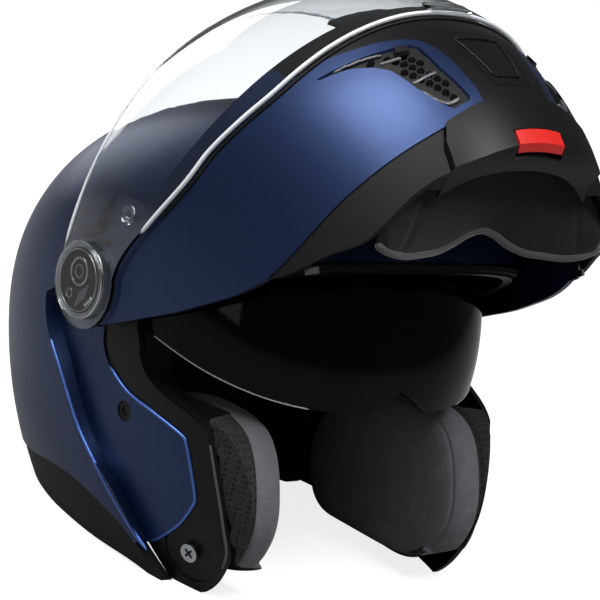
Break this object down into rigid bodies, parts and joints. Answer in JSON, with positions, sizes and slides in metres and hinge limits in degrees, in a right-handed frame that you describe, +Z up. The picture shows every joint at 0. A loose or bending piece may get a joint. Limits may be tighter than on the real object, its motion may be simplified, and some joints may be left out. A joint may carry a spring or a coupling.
{
  "type": "modular motorcycle helmet",
  "caption": "Modular motorcycle helmet with a chin bar that swings up, a clear visor on the same pivots, an inner sun visor, vents, a release lever and a padded lining.",
  "frame": {"origin": "middle of the bounding box on the table, under the standing helmet", "axes": "+X to the wearer's left, -Y forward, +Z up; the rest pose has the chin bar raised"},
  "size_m": [0.264, 0.3323, 0.322],
  "materials": {
    "painted_shell": "satin",
    "black_trim": "satin",
    "rubber": "matte",
    "foam": "matte",
    "lining": "matte",
    "clear_visor": "gloss",
    "smoke_visor": "gloss",
    "red_lever": "satin",
    "steel": "satin"
  },
  "bodies": {
    "shell": {"outer_shell": "painted_shell", "brow_trim": "black_trim", "brow_seal": "rubber", "rear_collar": "black_trim", "foam_liner": "foam", "crown_pad": "lining", "neck_roll": "lining", "rear_exhaust": "painted_shell", "jaw_trim_right": "black_trim", "jaw_trim_left": "black_trim", "cheek_pad_right": "lining", "cheek_pad_left": "lining", "pivot_plate_right": "black_trim", "pivot_plate_left": "black_trim", "pivot_cover_right": "clear_visor", "pivot_cover_left": "clear_visor", "striker_right": "steel", "striker_left": "steel", "side_plug_right": "black_trim", "side_plug_left": "black_trim", "chin_strap_right": "lining", "chin_strap_left": "lining", "strap_buckle_right": "black_trim", "strap_buckle_left": "black_trim"},
    "chin_bar": {"chin_bar_shell": "painted_shell", "chin_nose": "black_trim", "chin_liner": "foam", "chin_lip": "black_trim", "chin_curtain": "lining", "curtain_piping": "lining", "breath_guard": "rubber", "chin_lower_trim_right": "black_trim", "chin_lower_trim_left": "black_trim", "arm_plate_right": "steel", "arm_plate_left": "steel", "vent_grille_right": "black_trim", "vent_grille_left": "black_trim"},
    "visor": {"visor": "clear_visor", "visor_tab": "clear_visor", "pinlock_pin_right": "clear_visor", "pinlock_pin_left": "clear_visor"},
    "sun_visor": {"sun_visor": "smoke_visor"},
    "sun_visor_slide": {"sun_visor_slider": "black_trim"},
    "release_lever": {"release_lever": "red_lever"},
    "latch_left": {"latch_hook_left": "steel"},
    "latch_right": {"latch_hook_right": "steel"},
    "vent_slide_right": {"vent_slider_right": "black_trim"},
    "vent_slide_left": {"vent_slider_left": "black_trim"},
    "centre_vent": {"centre_vent_flap": "black_trim"},
    "top_vent": {"top_vent_slider": "black_trim"}
  },
  "joints": [
    {"name": "chin_bar_hinge", "type": "hinge", "parent": "shell", "child": "chin_bar", "pos_m": [0, 0.0122, 0.1387], "axis": [1, 0, 0], "range_deg": [0, 75]},
    {"name": "visor_hinge", "type": "hinge", "parent": "chin_bar", "child": "visor", "pos_m": [0, 0.0122, 0.1387], "axis": [-1, 0, 0], "range_deg": [0, 40]},
    {"name": "sun_visor_hinge", "type": "hinge", "parent": "shell", "child": "sun_visor", "pos_m": [0, 0.0122, 0.1387], "axis": [-1, 0, 0], "range_deg": [0, 42]},
    {"name": "sun_visor_slide", "type": "slide", "parent": "shell", "child": "sun_visor_slide", "axis": [-0.0113, 0.9993, 0.035], "range_m": [0, 0.01601]},
    {"name": "release_lever", "type": "hinge", "parent": "chin_bar", "child": "release_lever", "pos_m": [0, -0.16183, 0.2779], "axis": [1, 0, 0], "range_deg": [0, 12], "stiffness_Nm_per_rad": 0.3, "springref_deg": -5.73},
    {"name": "latch_left", "type": "hinge", "parent": "chin_bar", "child": "latch_left", "pos_m": [0.09491, -0.1155, 0.20731], "axis": [0.9263, -0.3131, 0.2094], "range_deg": [0, 18.01]},
    {"name": "latch_right", "type": "hinge", "parent": "chin_bar", "child": "latch_right", "pos_m": [-0.09491, -0.1155, 0.20731], "axis": [0.9263, 0.3131, -0.2094], "range_deg": [0, 18.01]},
    {"name": "vent_slide_right", "type": "slide", "parent": "chin_bar", "child": "vent_slide_right", "axis": [0.8664, -0.4099, 0.2854], "range_m": [0, 0.004]},
    {"name": "vent_slide_left", "type": "slide", "parent": "chin_bar", "child": "vent_slide_left", "axis": [-0.8664, -0.4099, 0.2854], "range_m": [0, 0.004]},
    {"name": "centre_vent_hinge", "type": "hinge", "parent": "chin_bar", "child": "centre_vent", "pos_m": [0, -0.13486, 0.29591], "axis": [1, 0, 0], "range_deg": [0, 12]},
    {"name": "top_vent_slide", "type": "slide", "parent": "shell", "child": "top_vent", "axis": [0, 0.903, -0.4296], "range_m": [0, 0.008]}
  ],
  "couplings": [
    {"joint": "sun_visor_slide", "follows": "sun_visor_hinge", "m_per_rad": 0.021827},
    {"joint": "latch_left", "follows": "release_lever", "ratio": 1.5},
    {"joint": "latch_right", "follows": "release_lever", "ratio": 1.5}
  ]
}
